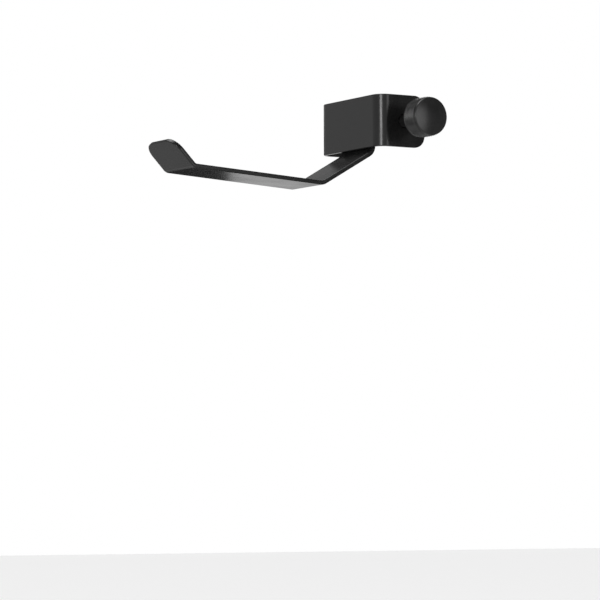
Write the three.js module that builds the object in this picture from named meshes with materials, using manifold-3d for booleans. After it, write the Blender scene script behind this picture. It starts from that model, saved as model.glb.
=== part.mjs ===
// Headphone hook for a round stand tube: a bent-strip clamp, a bent-strip arm and a knurled clamp screw.
// Millimetres, +Z up. The clamp screw's axis is the X axis, and X = 0 is the inner face of the fixed jaw.
// The arm reaches out along -Y. The clamp's mouth opens towards +Y.
import * as THREE from 'three';
import { mergeVertices } from 'three/addons/utils/BufferGeometryUtils.js';
import Module from 'manifold-3d';

const wasm = await Module();
wasm.setup();

// ---- driving dimensions ----
const STRIP_WIDTH = 25; // clamp bracket's strip
const ARM_WIDTH = 27.5; // hook arm's strip
const STRIP_THICKNESS = 2;
const THROAT_WIDTH = 50; // between the inner faces of the two jaws
const BRACKET_DEPTH = 26; // front plate's front face to the jaws' free ends
const SCREW_AXIS_BACK = 14.8; // front plate's front face to the clamp screw's axis
const BEND_OUTER_RADIUS = 6;
const TIP_BEND_OUTER_RADIUS = 4;
const JAW_CORNER_RADIUS = 5.5;

const ARM_SIDE_SETBACK = 9.75; // arm's edge, in from the screw jaw's outer face
const ROOT_CORNER_DROP = 2.5; // root bend's corner, below the bracket's lower edge
const REAR_CORNER_REACH = 24.8; // rear bend's corner, in front of the front plate
const REAR_CORNER_DROP = 19.25; // rear bend's corner, below the bracket's lower edge
const TIP_CORNER_REACH = 95.25; // tip bend's corner, in front of the front plate
const TIP_CORNER_DROP = 14.6; // tip bend's corner, below the bracket's lower edge
const PADDLE_LENGTH = 16.8; // tip bend's corner to the paddle's end
const PADDLE_ANGLE = THREE.MathUtils.degToRad(46);
const PADDLE_CORNER_RADIUS = 6.8;
const TAB_TOP_MARGIN = 2.5; // welded root tab, down from the bracket's upper edge

const THREAD_DIAMETER = 6; // M6 coarse thread
const KNOB_DIAMETER = 19;
const KNOB_LENGTH = 10.7;
const KNOB_STANDOFF = 12.5; // knob's rear face to the screw jaw's outer face, clamp closed on its tube
const REST_OPENING = 17; // fixed jaw to pressure pad, clamp closed on its tube
const PAD_LENGTH = 6;

// ---- small details and clearances ----
const GAP = 0.3; // between pieces that touch
const KNOB_CHAMFER = 0.4;
const KNOB_CROWN = 0.7; // rise of the end face's middle above its rim
const KNOB_END_WALL = 2.3; // solid metal between the screw's end and the knob's end face
const PAD_FACE_WALL = 1.8;
const PAD_CHAMFER = 0.8;
const THREAD_CHAMFER = 0.7;
const CORNER_SEGMENTS = 14;
const CROWN_SEGMENTS = 6;
const ROUND_SEGMENTS = 96;
const SMALL_ROUND_SEGMENTS = 64;

// ---- dependent dimensions ----
const FRONT_Y = -SCREW_AXIS_BACK;
const JAW_END_Y = BRACKET_DEPTH - SCREW_AXIS_BACK;
const HALF_STRIP = STRIP_WIDTH / 2;
const SCREW_JAW_INNER_X = THROAT_WIDTH;
const SCREW_JAW_OUTER_X = THROAT_WIDTH + STRIP_THICKNESS;
const ARM_RIGHT_X = SCREW_JAW_OUTER_X - ARM_SIDE_SETBACK;
const ARM_LEFT_X = ARM_RIGHT_X - ARM_WIDTH;
const TAB_BACK_Y = FRONT_Y + STRIP_THICKNESS + GAP + STRIP_THICKNESS;
const KNOB_REAR_X = SCREW_JAW_OUTER_X + KNOB_STANDOFF;
const KNOB_FACE_X = KNOB_REAR_X + KNOB_LENGTH;
const PAD_BACK_X = REST_OPENING + PAD_LENGTH;
const SHOULDER_X = PAD_BACK_X + GAP;
const CLEARANCE_BORE_RADIUS = THREAD_DIAMETER / 2 + GAP;
const NUT_ACROSS_FLATS = (5 / 3) * THREAD_DIAMETER;
const NUT_HEIGHT = (5 / 6) * THREAD_DIAMETER;
const PILOT_DIAMETER = (2 / 3) * THREAD_DIAMETER;
const PAD_DIAMETER = 2 * THREAD_DIAMETER;
const KNOB_BORE_DEPTH = KNOB_LENGTH - KNOB_END_WALL;
const CUT_SPAN = 4 * ARM_WIDTH; // longer than any wall that it cuts through

// ---- solids and booleans ----
function toSolid(geometry) {
  const bare = geometry.clone();
  bare.deleteAttribute('normal');
  bare.deleteAttribute('uv');
  const merged = mergeVertices(bare, 1e-5);
  return new wasm.Manifold(
    new wasm.Mesh({
      numProp: 3,
      vertProperties: Float32Array.from(merged.attributes.position.array),
      triVerts: Uint32Array.from(merged.index.array),
    }),
  );
}

function toGeometry(solid) {
  const mesh = solid.getMesh();
  const indexed = new THREE.BufferGeometry();
  indexed.setAttribute('position', new THREE.BufferAttribute(Float32Array.from(mesh.vertProperties), 3));
  indexed.setIndex(new THREE.BufferAttribute(Uint32Array.from(mesh.triVerts), 1));
  const flat = indexed.toNonIndexed();
  flat.computeVertexNormals();
  return flat;
}

// ---- shape helpers ----
// The two edges of a strip that always bends to the same side, as [u, v] points. The given corners lie on
// the strip's convex side, and turn is +1 where the path turns left and -1 where it turns right.
function bentStripShape(corners, outerRadii, turn) {
  const points = corners.map(([u, v]) => new THREE.Vector2(u, v));
  const directions = points.slice(1).map((point, i) => point.clone().sub(points[i]).normalize());
  const inward = (direction) => new THREE.Vector2(-direction.y, direction.x).multiplyScalar(turn);
  const convex = [points[0].clone()];
  const concave = [points[0].clone().addScaledVector(inward(directions[0]), STRIP_THICKNESS)];
  for (let i = 1; i < points.length - 1; i += 1) {
    const before = directions[i - 1];
    const after = directions[i];
    const radius = outerRadii[i - 1];
    const angle = before.angleTo(after);
    const tangent = radius * Math.tan(angle / 2);
    const centre = points[i].clone().addScaledVector(before, -tangent);
    centre.addScaledVector(inward(before), radius);
    for (let k = 0; k <= CORNER_SEGMENTS; k += 1) {
      const spoke = inward(before).negate();
      spoke.rotateAround(new THREE.Vector2(0, 0), (turn * angle * k) / CORNER_SEGMENTS);
      convex.push(centre.clone().addScaledVector(spoke, radius));
      concave.push(centre.clone().addScaledVector(spoke, radius - STRIP_THICKNESS));
    }
  }
  const last = points[points.length - 1];
  convex.push(last.clone());
  concave.push(last.clone().addScaledVector(inward(directions[directions.length - 1]), STRIP_THICKNESS));
  return new THREE.Shape([...convex, ...concave.reverse()]);
}

// A plate outline with its two far corners (at v = vEnd) rounded.
function roundedEndShape(u0, u1, vStart, vEnd, radius) {
  const shape = new THREE.Shape();
  shape.moveTo(u0, vStart);
  shape.lineTo(u1, vStart);
  shape.lineTo(u1, vEnd - radius);
  shape.absarc(u1 - radius, vEnd - radius, radius, 0, Math.PI / 2, false);
  shape.lineTo(u0 + radius, vEnd);
  shape.absarc(u0 + radius, vEnd - radius, radius, Math.PI / 2, Math.PI, false);
  shape.closePath();
  return shape;
}

function extrude(shape, depth) {
  return new THREE.ExtrudeGeometry(shape, { depth, bevelEnabled: false, curveSegments: CORNER_SEGMENTS });
}

// Places an extrusion so that its u, v and depth directions run along the three given axes.
function place(geometry, uAxis, vAxis, depthAxis, origin) {
  const matrix = new THREE.Matrix4().makeBasis(uAxis, vAxis, depthAxis);
  matrix.setPosition(origin);
  return geometry.applyMatrix4(matrix);
}

// A turned piece on the X axis, from [x, radius] points that start and end on the axis.
function turned(profile, segments) {
  const points = profile.map(([x, radius]) => new THREE.Vector2(radius, x));
  const geometry = new THREE.LatheGeometry(points, segments);
  return geometry.rotateZ(-Math.PI / 2);
}

function turnedRod(x0, x1, radius) {
  return toSolid(
    turned(
      [
        [x0, 0],
        [x0, radius],
        [x1, radius],
        [x1, 0],
      ],
      SMALL_ROUND_SEGMENTS,
    ),
  );
}

const X_AXIS = new THREE.Vector3(1, 0, 0);
const Y_AXIS = new THREE.Vector3(0, 1, 0);
const Z_AXIS = new THREE.Vector3(0, 0, 1);

// ---- clamp bracket: front plate, fixed jaw and screw jaw, bent from one strip ----
function clampBracket() {
  const outline = bentStripShape(
    [
      [-STRIP_THICKNESS, JAW_END_Y],
      [-STRIP_THICKNESS, FRONT_Y],
      [SCREW_JAW_OUTER_X, FRONT_Y],
      [SCREW_JAW_OUTER_X, JAW_END_Y],
    ],
    [BEND_OUTER_RADIUS, BEND_OUTER_RADIUS],
    1,
  );
  const strip = toSolid(extrude(outline, STRIP_WIDTH).translate(0, 0, -HALF_STRIP));
  const jawOutline = roundedEndShape(-HALF_STRIP, HALF_STRIP, FRONT_Y - 1, JAW_END_Y, JAW_CORNER_RADIUS);
  const jawPrism = toSolid(
    place(extrude(jawOutline, CUT_SPAN), Z_AXIS, Y_AXIS, X_AXIS.clone().negate(),
      new THREE.Vector3(CUT_SPAN - HALF_STRIP, 0, 0)),
  );
  const threadHole = turnedRod(SCREW_JAW_INNER_X - 1, SCREW_JAW_OUTER_X + 1, CLEARANCE_BORE_RADIUS);
  return strip.intersect(jawPrism).subtract(threadHole);
}

// ---- hook arm: welded root tab, sloping neck, headband rest and turned-up paddle, from a wider strip ----
function hookArm() {
  const lowerEdge = -HALF_STRIP;
  const tip = new THREE.Vector2(FRONT_Y - TIP_CORNER_REACH, lowerEdge - TIP_CORNER_DROP);
  const paddleEnd = [
    tip.x - PADDLE_LENGTH * Math.cos(PADDLE_ANGLE),
    tip.y + PADDLE_LENGTH * Math.sin(PADDLE_ANGLE),
  ];
  const outline = bentStripShape(
    [
      [TAB_BACK_Y, HALF_STRIP - TAB_TOP_MARGIN],
      [TAB_BACK_Y, lowerEdge - ROOT_CORNER_DROP],
      [FRONT_Y - REAR_CORNER_REACH, lowerEdge - REAR_CORNER_DROP],
      [tip.x, tip.y],
      paddleEnd,
    ],
    [BEND_OUTER_RADIUS, BEND_OUTER_RADIUS, TIP_BEND_OUTER_RADIUS],
    -1,
  );
  const strip = toSolid(
    place(extrude(outline, ARM_WIDTH), Y_AXIS, Z_AXIS, X_AXIS, new THREE.Vector3(ARM_LEFT_X, 0, 0)),
  );
  const alongPaddle = new THREE.Vector3(0, -Math.cos(PADDLE_ANGLE), Math.sin(PADDLE_ANGLE));
  const acrossPaddle = new THREE.Vector3().crossVectors(X_AXIS, alongPaddle);
  const paddleOutline = roundedEndShape(ARM_LEFT_X, ARM_RIGHT_X, -2 * TIP_CORNER_REACH, PADDLE_LENGTH,
    PADDLE_CORNER_RADIUS);
  const paddlePrism = toSolid(
    place(extrude(paddleOutline, 2 * CUT_SPAN), X_AXIS, alongPaddle, acrossPaddle,
      new THREE.Vector3(0, tip.x, tip.y).addScaledVector(acrossPaddle, -CUT_SPAN)),
  );
  return strip.intersect(paddlePrism);
}

// ---- weld nut: carries the thread on the screw jaw's inner face ----
function weldNut() {
  const x1 = SCREW_JAW_INNER_X - GAP;
  const x0 = x1 - NUT_HEIGHT;
  const cornerRadius = NUT_ACROSS_FLATS / Math.sqrt(3);
  const hexagon = new THREE.Shape(
    Array.from({ length: 6 }, (_, i) => {
      const angle = (i * Math.PI) / 3;
      return new THREE.Vector2(cornerRadius * Math.cos(angle), cornerRadius * Math.sin(angle));
    }),
  );
  const prism = toSolid(
    place(extrude(hexagon, NUT_HEIGHT), Y_AXIS, Z_AXIS, X_AXIS, new THREE.Vector3(x0, 0, 0)),
  );
  const chamferRise = (cornerRadius - NUT_ACROSS_FLATS / 2) * Math.tan(Math.PI / 6);
  const chamferCone = toSolid(
    turned(
      [
        [x0, 0],
        [x0, NUT_ACROSS_FLATS / 2],
        [x0 + chamferRise, cornerRadius],
        [x1, cornerRadius],
        [x1, 0],
      ],
      ROUND_SEGMENTS,
    ),
  );
  return prism.intersect(chamferCone).subtract(turnedRod(x0 - 1, x1 + 1, CLEARANCE_BORE_RADIUS));
}

// ---- clamp screw: threaded rod with a plain pilot for the pressure pad ----
function clampScrew() {
  const radius = THREAD_DIAMETER / 2;
  const pilotRadius = PILOT_DIAMETER / 2;
  return toSolid(
    turned(
      [
        [REST_OPENING + PAD_FACE_WALL + GAP, 0],
        [REST_OPENING + PAD_FACE_WALL + GAP, pilotRadius],
        [SHOULDER_X, pilotRadius],
        [SHOULDER_X + THREAD_CHAMFER, radius],
        [KNOB_REAR_X + KNOB_BORE_DEPTH - GAP, radius],
        [KNOB_REAR_X + KNOB_BORE_DEPTH - GAP, 0],
      ],
      SMALL_ROUND_SEGMENTS,
    ),
  );
}

// ---- knob: knurled head pressed onto the screw, with a slightly crowned end face ----
function knurledKnob() {
  const radius = KNOB_DIAMETER / 2;
  const rimRadius = radius - KNOB_CHAMFER;
  const crownPoint = (share) => [KNOB_FACE_X - KNOB_CROWN * share * share, rimRadius * share];
  const body = toSolid(
    turned(
      [
        [KNOB_REAR_X, 0],
        [KNOB_REAR_X, rimRadius],
        [KNOB_REAR_X + KNOB_CHAMFER, radius],
        [KNOB_FACE_X - KNOB_CROWN - KNOB_CHAMFER, radius],
        ...Array.from({ length: CROWN_SEGMENTS + 1 }, (_, i) => crownPoint(1 - i / CROWN_SEGMENTS)),
      ],
      ROUND_SEGMENTS,
    ),
  );
  return body.subtract(turnedRod(KNOB_REAR_X - 1, KNOB_REAR_X + KNOB_BORE_DEPTH, CLEARANCE_BORE_RADIUS));
}

// ---- pressure pad: turns freely on the screw's pilot and presses on the tube ----
function pressurePad() {
  const radius = PAD_DIAMETER / 2;
  const body = toSolid(
    turned(
      [
        [REST_OPENING, 0],
        [REST_OPENING, radius - PAD_CHAMFER],
        [REST_OPENING + PAD_CHAMFER, radius],
        [PAD_BACK_X - PAD_CHAMFER, radius],
        [PAD_BACK_X, radius - PAD_CHAMFER],
        [PAD_BACK_X, 0],
      ],
      SMALL_ROUND_SEGMENTS,
    ),
  );
  return body.subtract(turnedRod(REST_OPENING + PAD_FACE_WALL, PAD_BACK_X + 1, PILOT_DIAMETER / 2 + GAP));
}

// ---- materials ----
const POWDER_COAT = { color: 0x333333, roughness: 0.45, metalness: 0.2 };
const KNOB_COAT = { color: 0x2c2c2c, roughness: 0.4, metalness: 0.4 };
const DARK_ZINC = { color: 0x4a4a48, roughness: 0.35, metalness: 0.9 };
const PAD_RUBBER = { color: 0x1c1c1c, roughness: 0.8, metalness: 0 };

const part = new THREE.Group();

function addPiece(name, solid, finish) {
  const mesh = new THREE.Mesh(toGeometry(solid), new THREE.MeshStandardMaterial(finish));
  mesh.name = name;
  part.add(mesh);
}

addPiece('clamp_bracket', clampBracket(), POWDER_COAT);
addPiece('hook_arm', hookArm(), POWDER_COAT);
addPiece('weld_nut', weldNut(), DARK_ZINC);
addPiece('clamp_screw', clampScrew(), DARK_ZINC);
addPiece('knurled_knob', knurledKnob(), KNOB_COAT);
addPiece('pressure_pad', pressurePad(), PAD_RUBBER);

export default part;
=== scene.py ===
"""Headphone hook: a bent-strip clamp, a bent-strip arm and a knurled clamp screw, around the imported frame."""

import math

import bmesh
import bpy
from mathutils import Matrix, Vector


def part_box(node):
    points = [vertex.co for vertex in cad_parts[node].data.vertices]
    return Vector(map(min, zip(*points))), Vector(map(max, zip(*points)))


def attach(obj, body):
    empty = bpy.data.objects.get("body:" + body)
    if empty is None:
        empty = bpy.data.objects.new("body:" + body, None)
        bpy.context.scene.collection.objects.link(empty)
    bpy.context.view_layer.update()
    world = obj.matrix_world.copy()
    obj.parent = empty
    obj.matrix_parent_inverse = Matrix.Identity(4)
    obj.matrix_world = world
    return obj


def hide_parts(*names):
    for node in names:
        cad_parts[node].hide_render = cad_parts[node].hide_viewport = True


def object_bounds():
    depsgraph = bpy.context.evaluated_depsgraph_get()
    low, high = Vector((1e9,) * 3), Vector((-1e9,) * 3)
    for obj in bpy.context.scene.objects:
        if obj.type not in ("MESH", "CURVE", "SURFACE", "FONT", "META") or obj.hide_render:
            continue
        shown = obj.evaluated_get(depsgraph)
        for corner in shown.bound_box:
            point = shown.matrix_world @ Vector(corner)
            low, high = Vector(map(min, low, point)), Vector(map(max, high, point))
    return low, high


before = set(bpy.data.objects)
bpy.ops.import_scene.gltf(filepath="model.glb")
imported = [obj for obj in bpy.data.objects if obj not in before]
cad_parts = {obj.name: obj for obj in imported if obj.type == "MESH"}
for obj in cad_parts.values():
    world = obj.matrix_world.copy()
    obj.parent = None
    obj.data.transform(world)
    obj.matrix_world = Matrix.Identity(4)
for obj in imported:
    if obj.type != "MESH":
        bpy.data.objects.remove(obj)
cad_low, cad_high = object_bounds()

MM = 0.001

# ---- sizes shared with the solids, in metres ----
STRIP_THICKNESS = 2 * MM
BEND_RADIUS = 6 * MM
TIP_BEND_RADIUS = 4 * MM
JAW_CORNER_RADIUS = 5.5 * MM
PADDLE_CORNER_RADIUS = 6.8 * MM
PADDLE_LENGTH = 16.8 * MM
PADDLE_ANGLE = math.radians(46)
ROOT_CORNER_DROP = 2.5 * MM
REAR_CORNER = (24.8 * MM, 19.25 * MM)
TIP_CORNER = (95.25 * MM, 14.6 * MM)
THREAD_RADIUS = 3 * MM
THREAD_PITCH = 1 * MM
SCREW_HOLE_RADIUS = 3.2 * MM
TAB_CORNER_RADIUS = 2 * MM

# ---- finishing sizes ----
EDGE_ROUND = 0.42 * MM
EDGE_STEPS = 3
BEND_STEPS = 14
CORNER_STEPS = 12
HOLE_SEGMENTS = 32
MERGE_DISTANCE = 1e-6
SMOOTH_UNDER = math.radians(38)


# ---- mesh helpers ----
def whole(bm):
    """All of a mesh's geometry, for an operator."""
    return bm.verts[:] + bm.edges[:] + bm.faces[:]


def cut_across(bm, point, normal, clear_outer=False, clear_inner=False):
    """Cuts along a plane and can drop what lies on either side of it."""
    return bmesh.ops.bisect_plane(
        bm, geom=whole(bm), dist=1e-8, plane_co=point, plane_no=normal,
        clear_outer=clear_outer, clear_inner=clear_inner,
    )


def make_piece(name, bm, body, node=None, even=True):
    """Turns the bmesh into a finished piece that rides on its body and hides the named part it replaces."""
    bmesh.ops.recalc_face_normals(bm, faces=bm.faces[:])
    mesh = bpy.data.meshes.new(name)
    bm.to_mesh(mesh)
    bm.free()
    mesh.shade_smooth()
    mesh.set_sharp_from_angle(angle=SMOOTH_UNDER)
    piece = bpy.data.objects.new(name, mesh)
    bpy.context.scene.collection.objects.link(piece)
    if even:
        shading = piece.modifiers.new("even_shading", "WEIGHTED_NORMAL")
        shading.keep_sharp = True
    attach(piece, body)
    if node:
        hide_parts(node)
    return piece


# ---- folding a flat blank ----
def fold_line(corners, radii, turn):
    """The strip's middle line as straights and arcs. The corners lie on the convex face."""
    points = [Vector(c) for c in corners]
    ways = [(b - a).normalized() for a, b in zip(points, points[1:])]

    def inward(way):
        return Vector((-way.y, way.x)) * turn

    legs = []
    start, station = points[0], 0.0
    for i, radius in enumerate(radii):
        before, after, corner = ways[i], ways[i + 1], points[i + 1]
        angle = before.angle(after)
        tangent = radius * math.tan(angle / 2)
        straight = (corner - before * tangent - start).length
        legs.append({
            "kind": "straight", "from": station, "start": start, "way": before, "in": inward(before),
        })
        station += straight
        middle = radius - STRIP_THICKNESS / 2
        legs.append({
            "kind": "bend", "from": station, "centre": corner - before * tangent + inward(before) * radius,
            "spoke": -inward(before), "radius": radius, "middle": middle, "turn": turn, "angle": angle,
        })
        station += middle * angle
        start = corner + after * tangent
    legs.append({
        "kind": "straight", "from": station, "start": start, "way": ways[-1], "in": inward(ways[-1]),
    })
    station += (points[-1] - start).length
    return legs, station


def folded(legs, station, depth):
    """Where a point of the flat blank ends up: station along the strip, depth in from the convex face."""
    leg = [entry for entry in legs if entry["from"] <= station + 1e-9 or entry is legs[0]][-1]
    along = station - leg["from"]
    if leg["kind"] == "straight":
        return leg["start"] + leg["way"] * along + leg["in"] * depth
    swing = leg["turn"] * along / leg["middle"]
    spoke = leg["spoke"].copy()
    spoke.rotate(Matrix.Rotation(swing, 2))
    return leg["centre"] + spoke * (leg["radius"] - depth)


def flat_blank(length, width, start_radius, end_radius, bends, hole=None):
    """A flat strip with rounded corners, loops across its bends, an optional hole and eased edges."""
    bm = bmesh.new()
    bmesh.ops.create_grid(bm, x_segments=1, y_segments=1, size=0.5)
    bmesh.ops.scale(bm, vec=(length, width, 1), verts=bm.verts[:])
    bmesh.ops.translate(bm, vec=(length / 2, 0, 0), verts=bm.verts[:])
    for radius, at_start in ((start_radius, True), (end_radius, False)):
        ends = [v for v in bm.verts if (v.co.x < length / 2) == at_start]
        bmesh.ops.bevel(
            bm, geom=ends, offset=radius, offset_type="OFFSET", segments=CORNER_STEPS, profile=0.5,
            affect="VERTICES", material=-1,
        )
    if hole:
        open_hole(bm, hole)
    for first, last in bends:
        for k in range(BEND_STEPS + 1):
            cut_across(bm, (first + (last - first) * k / BEND_STEPS, 0, 0), (1, 0, 0))
    top = bmesh.ops.extrude_face_region(bm, geom=bm.faces[:])["geom"]
    bmesh.ops.translate(
        bm, vec=(0, 0, STRIP_THICKNESS), verts=[v for v in top if isinstance(v, bmesh.types.BMVert)]
    )
    bmesh.ops.recalc_face_normals(bm, faces=bm.faces[:])
    rims = [e for e in bm.edges if len(e.link_faces) == 2 and e.calc_face_angle() > math.radians(60)]
    bmesh.ops.bevel(
        bm, geom=rims, offset=EDGE_ROUND, offset_type="OFFSET", segments=EDGE_STEPS, profile=0.5,
        affect="EDGES", material=-1, clamp_overlap=True,
    )
    return bm


def open_hole(bm, station):
    """A round hole on the strip's middle line, inside a square patch of its own."""
    half = SCREW_HOLE_RADIUS * 1.5
    for x in (station - half, station + half):
        cut_across(bm, (x, 0, 0), (1, 0, 0))
    for y in (-half, half):
        cut_across(bm, (0, y, 0), (0, 1, 0))
    patch = min(bm.faces, key=lambda f: (f.calc_center_median() - Vector((station, 0, 0))).length)
    sides = patch.edges[:]
    bmesh.ops.delete(bm, geom=[patch], context="FACES_ONLY")
    cuts = HOLE_SEGMENTS // 4 - 1
    bmesh.ops.subdivide_edges(bm, edges=sides, cuts=cuts)
    frame_edges = [e for e in bm.edges if e.is_boundary and within(e, station, half)]
    circle = bmesh.ops.create_circle(
        bm, cap_ends=False, radius=SCREW_HOLE_RADIUS, segments=HOLE_SEGMENTS,
        matrix=Matrix.Translation((station, 0, 0)),
    )["verts"]
    ring = [e for e in bm.edges if e.verts[0] in circle and e.verts[1] in circle]
    bmesh.ops.bridge_loops(bm, edges=frame_edges + ring)


def within(edge, station, half):
    """Whether an edge lies in the square patch around a hole."""
    reach = half * 1.01
    return all(abs(v.co.x - station) < reach and abs(v.co.y) < reach for v in edge.verts)


def fold_strip(bm, legs, length, to_place):
    """Folds the flat blank and marks its eased edges for a painted highlight."""
    highlight_mark = bm.verts.layers.float.new("edge_highlight_mark")
    for v in bm.verts:
        inset = min(v.co.z, STRIP_THICKNESS - v.co.z)
        # points on the eased edges get the mark for the painted edge highlight
        v[highlight_mark] = 1.0 if 0.02 * EDGE_ROUND < inset < 0.98 * EDGE_ROUND else 0.0
        station = min(max(v.co.x, 0.0), length)
        point = folded(legs, station, v.co.z)
        v.co = to_place(point, v.co.y)


def bend_spans(legs):
    """Where each bend starts and ends along the flat strip."""
    bends = [leg for leg in legs if leg["kind"] == "bend"]
    return [(bend["from"], bend["from"] + bend["middle"] * bend["angle"]) for bend in bends]


# ---- bent pieces ----
bracket_low, bracket_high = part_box("clamp_bracket")
arm_low, arm_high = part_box("hook_arm")


def clamp_strip():
    """The U-shaped strip: fixed jaw, front plate and screw jaw."""
    left, right, front, back = bracket_low.x, bracket_high.x, bracket_low.y, bracket_high.y
    legs, length = fold_line(
        [(left, back), (left, front), (right, front), (right, back)], [BEND_RADIUS, BEND_RADIUS], 1
    )
    width = bracket_high.z - bracket_low.z
    middle = (bracket_high.z + bracket_low.z) / 2
    bm = flat_blank(
        length, width, JAW_CORNER_RADIUS, JAW_CORNER_RADIUS, bend_spans(legs), hole=length - back
    )
    fold_strip(bm, legs, length, lambda p, across: Vector((p.x, p.y, middle + across)))
    return make_piece("bracket_strip", bm, "hook_frame", "clamp_bracket")


def arm_strip():
    """The hook arm: root tab, neck, headband rest and paddle."""
    front, lower = bracket_low.y, bracket_low.z
    tip = Vector((front - TIP_CORNER[0], lower - TIP_CORNER[1]))
    end = tip + PADDLE_LENGTH * Vector((-math.cos(PADDLE_ANGLE), math.sin(PADDLE_ANGLE)))
    legs, length = fold_line(
        [
            (arm_high.y, arm_high.z),
            (arm_high.y, lower - ROOT_CORNER_DROP),
            (front - REAR_CORNER[0], lower - REAR_CORNER[1]),
            tuple(tip),
            tuple(end),
        ],
        [BEND_RADIUS, BEND_RADIUS, TIP_BEND_RADIUS],
        -1,
    )
    middle = (arm_low.x + arm_high.x) / 2
    width = arm_high.x - arm_low.x
    bm = flat_blank(length, width, TAB_CORNER_RADIUS, PADDLE_CORNER_RADIUS, bend_spans(legs))
    fold_strip(bm, legs, length, lambda p, across: Vector((middle + across, p.x, p.y)))
    return make_piece("arm_strip", bm, "hook_frame", "hook_arm")


# ---- turned pieces ----
def eased(profile, radius, steps=3):
    """Rounds the inner corners of an (x, radius) profile."""
    points = [Vector(p) for p in profile]
    out = [points[0]]
    for before, corner, after in zip(points, points[1:], points[2:]):
        a, b = (before - corner), (after - corner)
        reach = min(radius, 0.45 * a.length, 0.45 * b.length)
        p, q = corner + a.normalized() * reach, corner + b.normalized() * reach
        for k in range(steps + 1):
            t = k / steps
            out.append(p.lerp(corner, t).lerp(corner.lerp(q, t), t))
    out.append(points[-1])
    return out


def spin_profile(bm, profile, segments):
    """Turns an (x, radius) profile about the screw's axis."""
    verts = [bm.verts.new((x, 0, r)) for x, r in profile]
    edges = [bm.edges.new(pair) for pair in zip(verts, verts[1:])]
    bmesh.ops.spin(
        bm, geom=verts + edges, cent=(0, 0, 0), axis=(1, 0, 0), dvec=(0, 0, 0),
        angle=2 * math.pi, steps=segments, use_merge=True,
    )
    bmesh.ops.remove_doubles(bm, verts=bm.verts[:], dist=MERGE_DISTANCE)


KNURL_COUNT = 58
KNURL_ROWS = 9
KNURL_DEPTH = 0.42 * MM
KNOB_CHAMFER = 0.4 * MM
KNOB_CROWN = 0.7 * MM
KNOB_GROOVE = 0.3 * MM
KNOB_ROUND = 0.6 * MM
KNOB_BORE_DEPTH = 8.4 * MM
KNOB_PLAIN_END = 1.4 * MM
GROOVE_WIDTH = 0.5 * MM
LIP_START = 0.65 * MM
CROWN_STEPS = 10
ROUND_STEPS = 8
knob_low, knob_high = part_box("knurled_knob")


def knurled_head():
    """A turned head with a pyramid diamond knurl between its chamfers and a slightly crowned end."""
    outer = knob_high.z
    root = outer - KNURL_DEPTH
    rear, face = knob_low.x, knob_high.x
    bore, blind_end = SCREW_HOLE_RADIUS, rear + KNOB_BORE_DEPTH
    rim = outer - KNOB_CHAMFER
    knurl_from, knurl_to = rear + KNOB_CHAMFER, face - KNOB_CROWN - KNOB_PLAIN_END
    rear_end = eased(
        [(blind_end, 0), (blind_end, bore), (rear + 0.5 * MM, bore), (rear, bore + 0.5 * MM),
         (rear, rim), (knurl_from, root)], 0.2 * MM,
    )
    # the groove and the plain lip behind the end face, then a rounded edge into the crown
    cheek, groove = rim - KNOB_ROUND, root - KNOB_GROOVE
    crown = [
        Vector((face - KNOB_CROWN * (k / CROWN_STEPS) ** 2, cheek * k / CROWN_STEPS))
        for k in range(CROWN_STEPS - 1, -1, -1)
    ]
    front_end = eased(
        [(knurl_to, root), (knurl_to + 0.1 * MM, groove), (knurl_to + 0.45 * MM, groove),
         (knurl_to + GROOVE_WIDTH, root), (knurl_to + LIP_START, root)], 0.05 * MM,
    )[:-1]
    lip = knurl_to + LIP_START
    for k in range(ROUND_STEPS + 1):
        turn = k * math.pi / (2 * ROUND_STEPS)
        front_end.append(Vector((
            lip + (face - KNOB_CROWN - lip) * math.sin(turn), cheek + (root - cheek) * math.cos(turn)
        )))
    rows = [
        Vector((knurl_from + (knurl_to - knurl_from) * k / KNURL_ROWS, root)) for k in range(1, KNURL_ROWS)
    ]
    bm = bmesh.new()
    spin_profile(bm, rear_end + rows + front_end + crown, 2 * KNURL_COUNT)
    highlight_mark = bm.verts.layers.float.new("edge_highlight_mark")
    step = (knurl_to - knurl_from) / KNURL_ROWS
    # points on the knurl's rows are valleys and peaks by turns: each facet is split between its valleys
    is_low = {}
    for v in bm.verts:
        row = round((v.co.x - knurl_from) / step)
        on_row = abs(v.co.x - knurl_from - row * step) < MERGE_DISTANCE
        if on_row and 0 <= row <= KNURL_ROWS and abs(math.hypot(v.co.y, v.co.z) - root) < MERGE_DISTANCE:
            column = round(math.atan2(v.co.y, v.co.z) / math.pi * KNURL_COUNT) % (2 * KNURL_COUNT)
            is_low[v] = (row + column) % 2 == 0
    for diamond in [f for f in bm.faces if all(v in is_low for v in f.verts)]:
        bmesh.ops.connect_verts(bm, verts=[v for v in diamond.verts if is_low[v]])
    # knurl peaks are marked for a painted highlight: the knob's finish paints them lighter
    for v, low in is_low.items():
        if not low and knurl_from + 0.5 * step < v.co.x < knurl_to - 0.5 * step:
            v.co.y *= outer / root
            v.co.z *= outer / root
            v[highlight_mark] = 1.0
    return make_piece("knob_head", bm, "screw", "knurled_knob", even=False)


THREAD_STEPS = 28
THREAD_DEPTH = 0.6134 * THREAD_PITCH
THREAD_TO_PAD = 0.35 * MM
THREAD_IN_KNOB = 2 * MM
PILOT_RADIUS = 2 * MM


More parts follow.
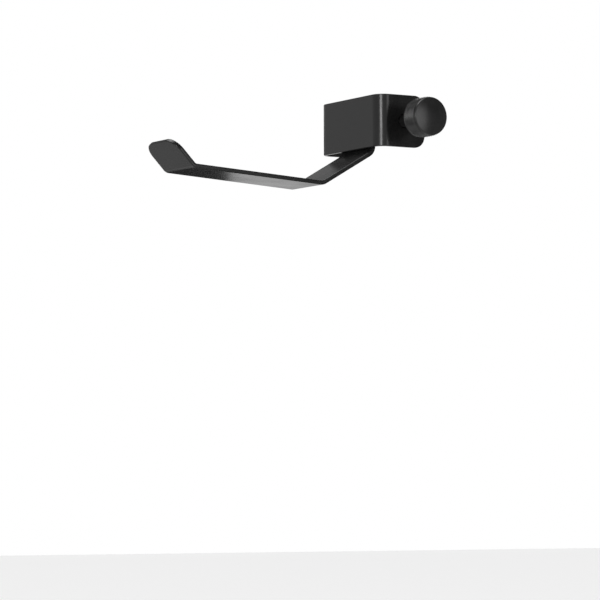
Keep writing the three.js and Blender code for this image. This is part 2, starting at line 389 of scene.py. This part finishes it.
def threaded_screw():
    """The rod with a true helical thread, a pointed-off end and its pilot."""
    screw_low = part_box("clamp_screw")[0]
    pad_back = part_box("pressure_pad")[1].x
    start, end = pad_back + THREAD_TO_PAD, knob_low.x + THREAD_IN_KNOB
    crest, root = THREAD_RADIUS, THREAD_RADIUS - THREAD_DEPTH
    turns = int((end - start) / THREAD_PITCH) + 4
    x = start - 2 * THREAD_PITCH
    shape = [(0, root), (0.25, root), (0.5625, crest), (0.6875, crest), (1, root)]
    bm = bmesh.new()
    verts = [bm.verts.new((x + f * THREAD_PITCH, 0, r)) for f, r in shape]
    edges = [bm.edges.new(pair) for pair in zip(verts, verts[1:])]
    bmesh.ops.spin(
        bm, geom=verts + edges, cent=(0, 0, 0), axis=(1, 0, 0), dvec=(THREAD_PITCH / THREAD_STEPS, 0, 0),
        angle=2 * math.pi * turns, steps=THREAD_STEPS * turns, use_merge=False,
    )
    bmesh.ops.remove_doubles(bm, verts=bm.verts[:], dist=MERGE_DISTANCE)
    for point, outer in ((start, False), (end, True)):
        cut = cut_across(bm, (point, 0, 0), (1, 0, 0), clear_outer=outer, clear_inner=not outer)["geom_cut"]
        rim = [e for e in cut if isinstance(e, bmesh.types.BMEdge)]
        bmesh.ops.contextual_create(bm, geom=rim)
    # the thread runs out in a cone at the pad's end
    for v in bm.verts:
        reach = math.hypot(v.co.y, v.co.z)
        allowed = root - 0.1 * MM + (v.co.x - start)
        if reach > allowed:
            v.co.y *= allowed / reach
            v.co.z *= allowed / reach
    pilot = eased(
        [(screw_low.x, 0), (screw_low.x, PILOT_RADIUS), (start + MM, PILOT_RADIUS), (start + MM, 0)],
        0.3 * MM,
    )
    spin_profile(bm, pilot, 40)
    return make_piece("screw_thread", bm, "screw", "clamp_screw", even=False)


PAD_SOCKET_RADIUS = 2.4 * MM
PAD_FACE_WALL = 1.8 * MM
PAD_DISH_DEPTH = 0.25 * MM
PAD_RIM_CHAMFER = 0.8 * MM
PAD_WAIST = 0.5 * MM


def swivel_pad():
    """The pressure pad: a cap with a dished front, a waist and a socket for the screw's pilot."""
    pad_low, pad_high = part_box("pressure_pad")
    front, back, outer = pad_low.x, pad_high.x, pad_high.z
    profile = eased(
        [(front + PAD_DISH_DEPTH, 0), (front + PAD_DISH_DEPTH, 2.6 * MM), (front, 3 * MM),
         (front, outer - PAD_RIM_CHAMFER), (front + PAD_RIM_CHAMFER, outer), (back - 2.4 * MM, outer),
         (back - 2.2 * MM, outer - PAD_WAIST), (back - 0.6 * MM, outer - PAD_WAIST),
         (back, outer - 1.3 * MM), (back, PAD_SOCKET_RADIUS), (front + PAD_FACE_WALL, PAD_SOCKET_RADIUS),
         (front + PAD_FACE_WALL, 0)], 0.3 * MM,
    )
    bm = bmesh.new()
    spin_profile(bm, profile, 72)
    return make_piece("pad_cap", bm, "pad", "pressure_pad", even=False)


NUT_BORE_RADIUS = 3.1 * MM
NUT_SIDE_STEPS = 8
NUT_EDGE_ROUND = 0.4 * MM


def hex_nut():
    """The weld nut, with its flats up and down and its rims eased."""
    nut_low, nut_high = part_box("weld_nut")
    x0, x1 = nut_low.x, nut_high.x
    flats = (nut_high.z - nut_low.z) / 2
    bm = bmesh.new()
    bmesh.ops.create_circle(bm, cap_ends=False, radius=flats / math.cos(math.pi / 6), segments=6)
    bmesh.ops.subdivide_edges(bm, edges=bm.edges[:], cuts=NUT_SIDE_STEPS - 1)
    outline = bm.edges[:]
    bore = bmesh.ops.create_circle(
        bm, cap_ends=False, radius=NUT_BORE_RADIUS, segments=6 * NUT_SIDE_STEPS,
    )["verts"]
    ring = [e for e in bm.edges if e.verts[0] in bore and e.verts[1] in bore]
    bmesh.ops.bridge_loops(bm, edges=outline + ring)
    top = bmesh.ops.extrude_face_region(bm, geom=bm.faces[:])["geom"]
    raised = [v for v in top if isinstance(v, bmesh.types.BMVert)]
    bmesh.ops.translate(bm, vec=(0, 0, x1 - x0), verts=raised)
    bmesh.ops.recalc_face_normals(bm, faces=bm.faces[:])
    rims = [e for e in bm.edges if e.calc_face_angle() > math.radians(50)]
    bmesh.ops.bevel(
        bm, geom=rims, offset=NUT_EDGE_ROUND, offset_type="OFFSET", segments=2, profile=0.5, affect="EDGES",
        material=-1, clamp_overlap=True,
    )
    turn = Matrix(((0, 0, 1), (1, 0, 0), (0, 1, 0)))
    bmesh.ops.transform(bm, matrix=turn.to_4x4(), verts=bm.verts[:])
    bmesh.ops.translate(bm, vec=(x0, 0, 0), verts=bm.verts[:])
    return make_piece("nut_hex", bm, "hook_frame", "weld_nut")


# ---- welds ----
WELD_FOOT, WELD_HEAD, WELD_RADIUS = -8 * MM, 7 * MM, 1.1 * MM
WELD_RIPPLE = 1.1 * MM


def weld_bead(name, start, end, radius):
    """A short rippled fillet bead between two points."""
    way = end - start
    bm = bmesh.new()
    bmesh.ops.create_uvsphere(bm, u_segments=20, v_segments=48, radius=1.0)
    for v in bm.verts:
        along = max(-1.0, min(1.0, v.co.z))
        ring = math.hypot(v.co.x, v.co.y)
        full = min(1.0, (1 - abs(along)) * way.length / (2 * radius))
        bulge = radius * math.sqrt(max(0.0, 1 - (1 - full) ** 2))
        ripple = 1 + 0.07 * math.cos(along * way.length / WELD_RIPPLE * math.pi)
        scale = bulge * ripple / ring if ring > 1e-6 else 0
        v.co = Vector((v.co.x * scale, v.co.y * scale, along * way.length / 2))
    turn = Vector((0, 0, 1)).rotation_difference(way).to_matrix().to_4x4()
    bmesh.ops.transform(bm, matrix=Matrix.Translation((start + end) / 2) @ turn, verts=bm.verts[:])
    bmesh.ops.remove_doubles(bm, verts=bm.verts[:], dist=MERGE_DISTANCE)
    return make_piece(name, bm, "hook_frame", even=False)


# ---- finishes ----
def new_group(name, inputs, outputs):
    """An empty node group with its named sockets."""
    group = bpy.data.node_groups.new(name, "ShaderNodeTree")
    for label, kind, value in inputs:
        socket = group.interface.new_socket(label, in_out="INPUT", socket_type=kind)
        socket.default_value = value
    for label, kind in outputs:
        group.interface.new_socket(label, in_out="OUTPUT", socket_type=kind)
    nodes = group.nodes
    return group, nodes, group.links, nodes.new("NodeGroupInput"), nodes.new("NodeGroupOutput")


def add_node(nodes, kind, **values):
    node = nodes.new(kind)
    for key, value in values.items():
        setattr(node, key, value)
    return node


def math_node(nodes, links, operation, a, b=None, c=None):
    node = add_node(nodes, "ShaderNodeMath", operation=operation)
    for index, value in enumerate((a, b, c)):
        if value is None:
            continue
        if hasattr(value, "is_linked"):
            links.new(value, node.inputs[index])
        else:
            node.inputs[index].default_value = value
    return node.outputs[0]


def coat_grain_group():
    """Orange-peel waves, fine grain and slow blotches of a baked powder coat."""
    group, nodes, links, into, out = new_group(
        "coat_grain",
        [("Vector", "NodeSocketVector", (0, 0, 0)), ("Wave Scale", "NodeSocketFloat", 1400.0),
         ("Grain Scale", "NodeSocketFloat", 6000.0), ("Grain Share", "NodeSocketFloat", 0.35)],
        [("Height", "NodeSocketFloat"), ("Blotch", "NodeSocketFloat")],
    )
    wave = add_node(nodes, "ShaderNodeTexNoise")
    wave.inputs["Detail"].default_value = 2
    grain = add_node(nodes, "ShaderNodeTexNoise")
    grain.inputs["Detail"].default_value = 3
    blotch = add_node(nodes, "ShaderNodeTexNoise")
    blotch.inputs["Scale"].default_value = 90
    blotch.inputs["Detail"].default_value = 4
    for node in (wave, grain, blotch):
        links.new(into.outputs["Vector"], node.inputs["Vector"])
    links.new(into.outputs["Wave Scale"], wave.inputs["Scale"])
    links.new(into.outputs["Grain Scale"], grain.inputs["Scale"])
    part = math_node(nodes, links, "MULTIPLY", grain.outputs[0], into.outputs["Grain Share"])
    links.new(math_node(nodes, links, "ADD", wave.outputs[0], part), out.inputs["Height"])
    links.new(blotch.outputs[0], out.inputs["Blotch"])
    return group


def painted_edge_highlight_group():
    """Painted highlight on the marked eased edges and knurl peaks, broken up by noise."""
    group, nodes, links, into, out = new_group(
        "painted_edge_highlight",
        [("Vector", "NodeSocketVector", (0, 0, 0)), ("Amount", "NodeSocketFloat", 0.5),
         ("Break Scale", "NodeSocketFloat", 500.0)],
        [("Mask", "NodeSocketFloat")],
    )
    mark = add_node(nodes, "ShaderNodeAttribute", attribute_name="edge_highlight_mark")
    patches = add_node(nodes, "ShaderNodeTexNoise")
    patches.inputs["Detail"].default_value = 5
    links.new(into.outputs["Vector"], patches.inputs["Vector"])
    links.new(into.outputs["Break Scale"], patches.inputs["Scale"])
    spread = add_node(nodes, "ShaderNodeMapRange")
    spread.inputs["From Min"].default_value = 0.35
    spread.inputs["From Max"].default_value = 0.7
    links.new(patches.outputs[0], spread.inputs["Value"])
    highlit_edges = math_node(nodes, links, "MULTIPLY", mark.outputs["Fac"], spread.outputs[0])
    links.new(math_node(nodes, links, "MULTIPLY", highlit_edges, into.outputs["Amount"]), out.inputs["Mask"])
    return group


GRAIN = coat_grain_group()
EDGE_HIGHLIGHT = painted_edge_highlight_group()


def new_material(name, base, roughness):
    """A plain material and what is needed to go on from it."""
    material = bpy.data.materials.new(name)
    material.use_nodes = True
    nodes, links = material.node_tree.nodes, material.node_tree.links
    shader = nodes["Principled BSDF"]
    shader.inputs["Base Color"].default_value = (*base, 1)
    shader.inputs["Roughness"].default_value = roughness
    place = nodes.new("ShaderNodeTexCoord")
    return material, nodes, links, shader, place.outputs["Object"]


def grained_finish(name, dark, light, smooth, rough, bump, edge_highlight=0.0, gloss=0.5, wave=1400.0):
    """A near-black finish: shade and sheen drift in blotches, with fine grain and a painted highlight on marked
    edges.
    """
    material, nodes, links, shader, place = new_material(name, (dark,) * 3, smooth)
    shader.inputs["Specular IOR Level"].default_value = gloss
    texture = add_node(nodes, "ShaderNodeGroup", node_tree=GRAIN)
    texture.inputs["Wave Scale"].default_value = wave
    links.new(place, texture.inputs["Vector"])
    # the painted edge highlight lightens the base colour where edges are marked
    highlit = add_node(nodes, "ShaderNodeGroup", node_tree=EDGE_HIGHLIGHT)
    highlit.inputs["Amount"].default_value = edge_highlight
    links.new(place, highlit.inputs["Vector"])
    tone = add_node(nodes, "ShaderNodeMix", data_type="RGBA")
    tone.inputs["A"].default_value = (dark, dark, dark, 1)
    tone.inputs["B"].default_value = (light, light, light, 1)
    factor = math_node(nodes, links, "MULTIPLY_ADD", texture.outputs["Blotch"], 0.6, highlit.outputs["Mask"])
    links.new(factor, tone.inputs["Factor"])
    links.new(tone.outputs["Result"], shader.inputs["Base Color"])
    sheen = add_node(nodes, "ShaderNodeMapRange")
    sheen.inputs["From Min"].default_value = 0.3
    sheen.inputs["From Max"].default_value = 0.7
    sheen.inputs["To Min"].default_value = smooth
    sheen.inputs["To Max"].default_value = rough
    links.new(texture.outputs["Blotch"], sheen.inputs["Value"])
    links.new(sheen.outputs[0], shader.inputs["Roughness"])
    relief = nodes.new("ShaderNodeBump")
    relief.inputs["Strength"].default_value = 1.0
    relief.inputs["Distance"].default_value = bump
    links.new(texture.outputs["Height"], relief.inputs["Height"])
    links.new(relief.outputs["Normal"], shader.inputs["Normal"])
    return material


def dress(piece, material):
    """Gives a piece its one material."""
    piece.data.materials.clear()
    piece.data.materials.append(material)


bracket = clamp_strip()
arm = arm_strip()
knob = knurled_head()
screw = threaded_screw()
pad = swivel_pad()
nut = hex_nut()
seam_y = arm_high.y - STRIP_THICKNESS
seams = [
    weld_bead(f"tab_weld_{side}", Vector((x, seam_y, WELD_FOOT)), Vector((x, seam_y, WELD_HEAD)), WELD_RADIUS)
    for side, x in (("left", arm_low.x), ("right", arm_high.x))
]

# the strips' marked edges get a faint painted highlight in their base colour
powder_coat = grained_finish("satin_powder_coat", 0.004, 0.010, 0.2, 0.26, 0.005 * MM, edge_highlight=0.15)
# the knob's light tone on the marked knurl peaks is a painted highlight
knob_coat = grained_finish("knob_black", 0.003, 0.036, 0.18, 0.24, 0.002 * MM, edge_highlight=1.5)
screw_steel = grained_finish("black_oxide_thread", 0.003, 0.009, 0.3, 0.42, 0.003 * MM, gloss=0.25)
pad_plastic = grained_finish("black_moulding", 0.012, 0.02, 0.5, 0.6, 0.01 * MM, wave=3000.0)
for piece in (bracket, arm, nut, *seams):
    dress(piece, powder_coat)
dress(knob, knob_coat)
dress(screw, screw_steel)
dress(pad, pad_plastic)


# ---- setting ----
CENTRE = (cad_low + cad_high) / 2
FLOOR_HEIGHT = -0.33


def toward(azimuth, elevation):
    """The way to a lamp: azimuth in degrees from the front, growing to the screw's side."""
    a, e = math.radians(azimuth), math.radians(elevation)
    return Vector((math.sin(a) * math.cos(e), -math.cos(a) * math.cos(e), math.sin(e)))


def softbox(name, azimuth, elevation, distance, width, height, radiance):
    """A rectangular lamp aimed at the middle of the hook, equally bright whatever its size."""
    lamp = bpy.data.lights.new(name, "AREA")
    lamp.shape = "RECTANGLE"
    lamp.size, lamp.size_y = width, height
    lamp.energy = radiance * math.pi * width * height
    holder = bpy.data.objects.new(name, lamp)
    bpy.context.scene.collection.objects.link(holder)
    way = toward(azimuth, elevation)
    holder.location = CENTRE + way * distance
    holder.rotation_euler = way.to_track_quat("Z", "Y").to_euler()


softbox("front_strip", 42.5, 8, 2.0, 0.53, 0.55, 9.5)
softbox("left_overhead", -70, 60, 1.3, 0.9, 0.9, 1.3)
softbox("overhead", -40, 78, 1.2, 0.9, 0.9, 2.6)
softbox("right_fill", 107, 4, 2.0, 0.7, 0.7, 1.5)


def flat_sheet(name, size, shade, place):
    """A plain sheet of the setting, not part of the hook."""
    bm = bmesh.new()
    bmesh.ops.create_grid(bm, x_segments=1, y_segments=1, size=0.5)
    bmesh.ops.scale(bm, vec=(size[0], size[1], 1), verts=bm.verts[:])
    bmesh.ops.transform(bm, matrix=place, verts=bm.verts[:])
    mesh = bpy.data.meshes.new(name)
    bm.to_mesh(mesh)
    bm.free()
    sheet = bpy.data.objects.new(name, mesh)
    bpy.context.scene.collection.objects.link(sheet)
    mesh.materials.append(new_material(name, (shade,) * 3, 0.9)[0])
    return sheet


floor = flat_sheet("pale_floor", (16, 16), 0.92, Matrix.Translation((0, 0, FLOOR_HEIGHT)))
floor.visible_glossy = False

# a dark card past the paddle, seen only in reflections, shades the front of the rest's underside
CARD_WAY = Vector((-0.85, 0.5, -0.127)).normalized()
CARD_AIM = Vector((28, -158, -30)) * MM
card_place = Matrix.Translation(CARD_AIM + CARD_WAY * 0.3)
card_turn = CARD_WAY.to_track_quat("Z", "Y").to_matrix().to_4x4()
card = flat_sheet("dark_card", (0.12, 0.2), 0.02, card_place @ card_turn)
card.visible_camera = False
card.visible_diffuse = False
card.visible_shadow = False

# the studio around: even for the camera and for soft light, uneven in reflections
world = bpy.data.worlds.new("studio")
bpy.context.scene.world = world
world.use_nodes = True
nodes, links = world.node_tree.nodes, world.node_tree.links
backdrop = nodes["Background"]
backdrop.inputs["Color"].default_value = (1, 1, 1, 1)
sight = nodes.new("ShaderNodeLightPath")
direction = nodes.new("ShaderNodeTexCoord").outputs["Generated"]


def fade(axis, start, end, at_start, at_end):
    """Light level that changes smoothly with the direction's share along an axis."""
    share = add_node(nodes, "ShaderNodeVectorMath", operation="DOT_PRODUCT")
    share.inputs[1].default_value = axis
    links.new(direction, share.inputs[0])
    change = add_node(nodes, "ShaderNodeMapRange", interpolation_type="SMOOTHSTEP")
    for label, value in (("From Min", start), ("From Max", end), ("To Min", at_start), ("To Max", at_end)):
        change.inputs[label].default_value = value
    links.new(share.outputs["Value"], change.inputs["Value"])
    return change.outputs[0]


overhead = fade((0, 0, 1), 0.12, 0.45, 0.55, 0.12)
right_rear = fade((0.087, 0.996, 0), 0.32, 0.62, 1.0, 0.12)
left_rear = fade((-0.86, 0.5, 0), 0.7, 1.0, 1.0, 2.0)
below = fade((0, 0, -1), 0.2, 0.5, 1.0, 0.76)
around = overhead
for change in (right_rear, left_rear, below):
    around = math_node(nodes, links, "MULTIPLY", around, change)
level = add_node(nodes, "ShaderNodeMix", data_type="FLOAT")
level.inputs["A"].default_value = 1.0
links.new(sight.outputs["Is Glossy Ray"], level.inputs["Factor"])
links.new(around, level.inputs["B"])
links.new(level.outputs[0], backdrop.inputs["Strength"])
bpy.context.scene.view_settings.view_transform = "Standard"

# ---- camera ----
RIGHT = Vector((0.52223, 0.85279, -0.00468))
UP = Vector((0.05805, -0.03006, 0.99786))
BACK = RIGHT.cross(UP)
CAMERA_PLACE = Vector((1.3198, -0.83617, -0.18456))
camera_data = bpy.data.cameras.new("camera")
camera_data.lens = 192
camera_data.sensor_width = 36
camera_data.clip_start = 0.05
camera = bpy.data.objects.new("camera", camera_data)
bpy.context.scene.collection.objects.link(camera)
camera_stand = Matrix((RIGHT, UP, BACK)).transposed().to_4x4()
camera_stand.translation = CAMERA_PLACE
camera.matrix_world = camera_stand
bpy.context.scene.camera = camera
